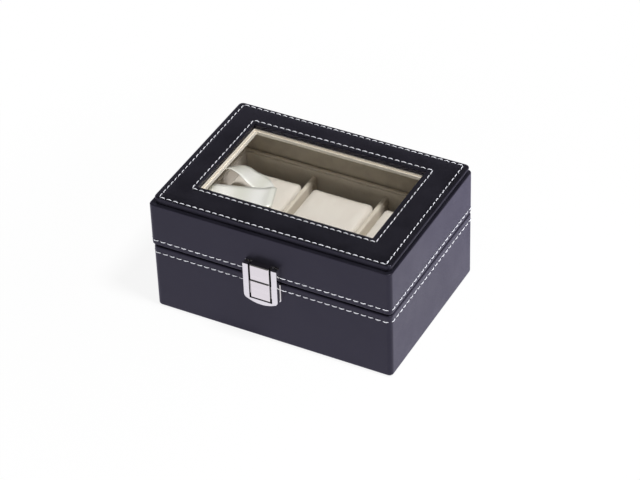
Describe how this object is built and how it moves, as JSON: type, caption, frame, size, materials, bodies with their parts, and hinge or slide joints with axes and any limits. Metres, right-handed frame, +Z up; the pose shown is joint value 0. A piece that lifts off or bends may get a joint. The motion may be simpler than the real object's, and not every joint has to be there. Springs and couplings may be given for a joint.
{
  "type": "watch box",
  "caption": "Black leather-covered watch box with a hinged, stitched window lid, chrome press latch, stay ribbon and cream-lined bays with lift-out pillows.",
  "frame": {"origin": "middle of the box's foot, on the surface it stands on, measured over the leather body without latch and hinges", "axes": "+X to the right along the front, +Y from the latch to the hinges, +Z up"},
  "size_m": [0.1616, 0.1221, 0.0831],
  "materials": {
    "black_leather": "smooth black grained leather cloth, satin",
    "cream_velvet": "short cream velvet on card",
    "pillow_velvet": "plump cream velvet over wadding",
    "board": "plain fibreboard",
    "felt": "black felt",
    "chrome": "polished plated zinc",
    "steel": "nickel plated steel",
    "glass": "clear float glass",
    "satin": "pale satin ribbon"
  },
  "bodies": {
    "base": {"base_felt": "felt", "base_floor_board": "board", "base_front_board": "board", "base_back_board": "board", "base_left_board": "board", "base_right_board": "board", "base_leather_wrap": "black_leather", "base_floor_lining": "cream_velvet", "base_lining_front": "cream_velvet", "base_lining_back": "cream_velvet", "base_lining_left": "cream_velvet", "base_lining_right": "cream_velvet", "divider_left": "cream_velvet", "divider_right": "cream_velvet", "latch_base_plate": "chrome", "latch_housing": "chrome", "latch_catch_spring": "steel", "latch_base_screws": "steel", "hinge_base_leaf_left": "steel", "hinge_base_leaf_right": "steel", "hinge_pin_left": "steel", "hinge_pin_right": "steel", "hinge_base_screws": "steel", "stay_ribbon": "satin"},
    "lid": {"lid_front_board": "board", "lid_back_board": "board", "lid_left_board": "board", "lid_right_board": "board", "lid_window_frame": "board", "lid_leather_wrap": "black_leather", "lid_cover_board": "board", "lid_cover_leather": "black_leather", "window_pane": "glass", "lid_lining_front": "cream_velvet", "lid_lining_back": "cream_velvet", "lid_lining_left": "cream_velvet", "lid_lining_right": "cream_velvet", "lid_frame_lining": "cream_velvet", "latch_lid_plate": "chrome", "latch_strike": "chrome", "latch_strike_screws": "steel", "hinge_lid_leaf_left": "steel", "hinge_lid_leaf_right": "steel", "hinge_lid_screws": "steel"},
    "button": {"latch_button": "chrome"},
    "pillow_left_body": {"pillow_left": "pillow_velvet"},
    "pillow_middle_body": {"pillow_middle": "pillow_velvet"},
    "pillow_right_body": {"pillow_right": "pillow_velvet"}
  },
  "joints": [
    {"name": "lid_hinge", "type": "hinge", "parent": "base", "child": "lid", "pos_m": [0, 0.0584, 0.0474], "axis": [-1, 0, 0], "range_deg": [0, 105], "deforming": ["latch_catch_spring", "stay_ribbon"]},
    {"name": "button_press", "type": "slide", "parent": "base", "child": "button", "axis": [0, 1, 0], "range_m": [0, 0.0006], "stiffness_N_per_m": 800, "deforming": ["latch_catch_spring"]},
    {"name": "pillow_left_lift", "type": "slide", "parent": "base", "child": "pillow_left_body", "axis": [0, 0, 1], "range_m": [0, 0.014]},
    {"name": "pillow_middle_lift", "type": "slide", "parent": "base", "child": "pillow_middle_body", "axis": [0, 0, 1], "range_m": [0, 0.014]},
    {"name": "pillow_right_lift", "type": "slide", "parent": "base", "child": "pillow_right_body", "axis": [0, 0, 1], "range_m": [0, 0.014]}
  ]
}
